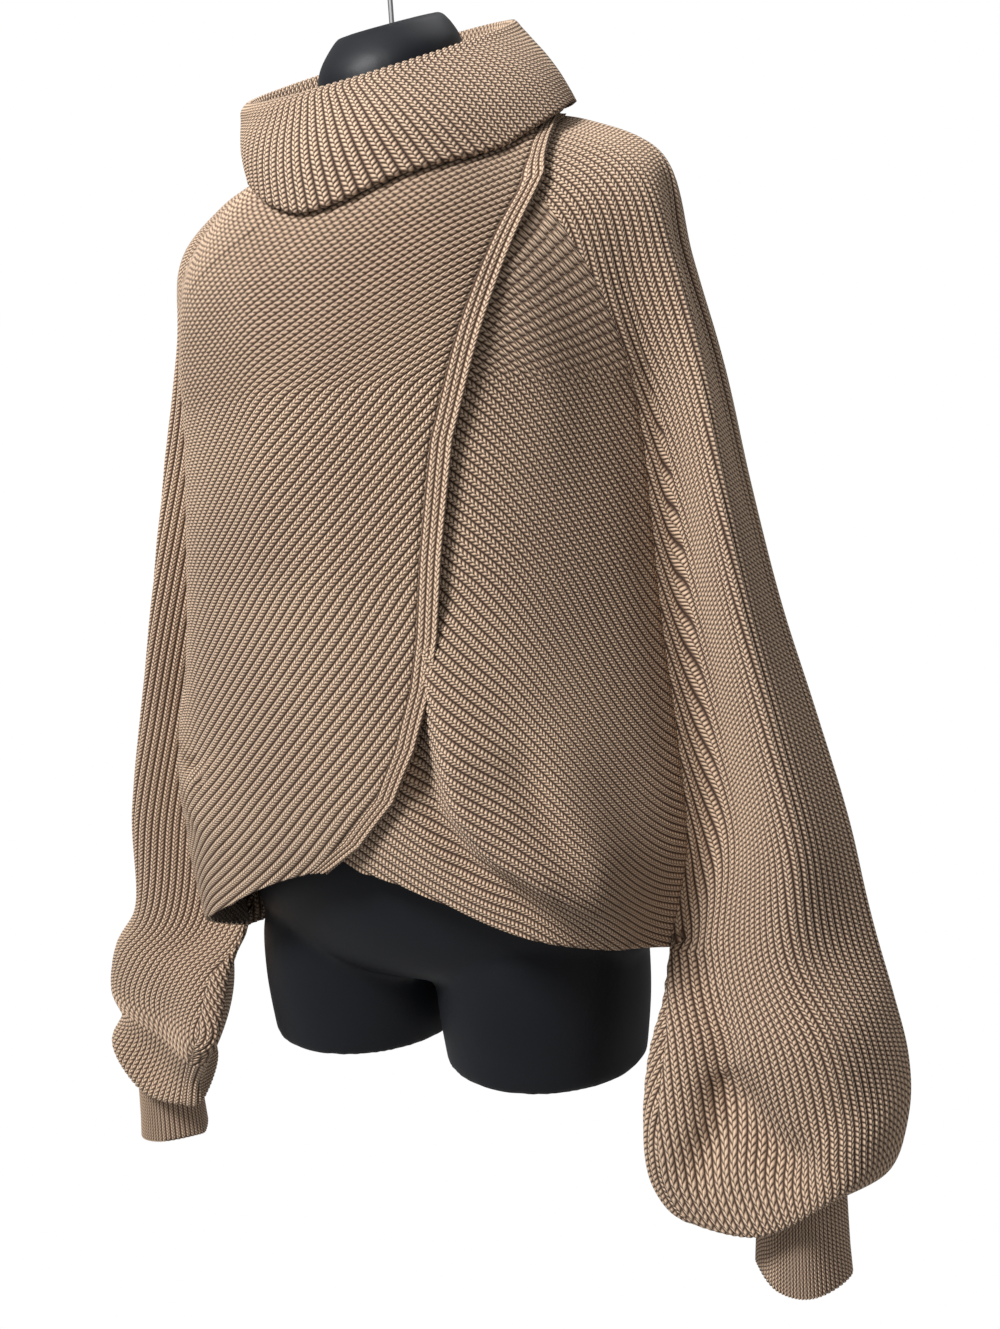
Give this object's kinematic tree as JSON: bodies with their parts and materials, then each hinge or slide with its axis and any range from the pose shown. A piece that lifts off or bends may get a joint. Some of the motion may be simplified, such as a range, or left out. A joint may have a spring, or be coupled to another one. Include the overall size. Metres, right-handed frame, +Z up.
{
  "type": "wrap sweater on a hanging dress form",
  "caption": "Chunky rib-knit wrap sweater with a folded collar, full dolman sleeves and ribbed cuffs, hanging on a plain headless torso form with a wire hook.",
  "frame": {"origin": "underside of the hook's crown, where a rail carries the form and the sweater", "axes": "+Z up, front of the sweater towards -Y, wearer's left towards +X"},
  "size_m": [0.6451, 0.25, 0.9067],
  "materials": {
    "chunky_knit": "camel cotton yarn, chunky half-cardigan rib",
    "fine_rib": "camel cotton yarn, fine rib",
    "form_shell": "smooth black plastic, soft sheen",
    "hook_wire": "plain steel wire"
  },
  "bodies": {
    "root": {"front_right": "chunky_knit", "front_left": "chunky_knit", "back": "chunky_knit", "collar": "chunky_knit", "wrap_band": "fine_rib", "cuff_left": "fine_rib", "cuff_right": "fine_rib", "dress_form": "form_shell", "hook": "hook_wire"}
  },
  "joints": []
}
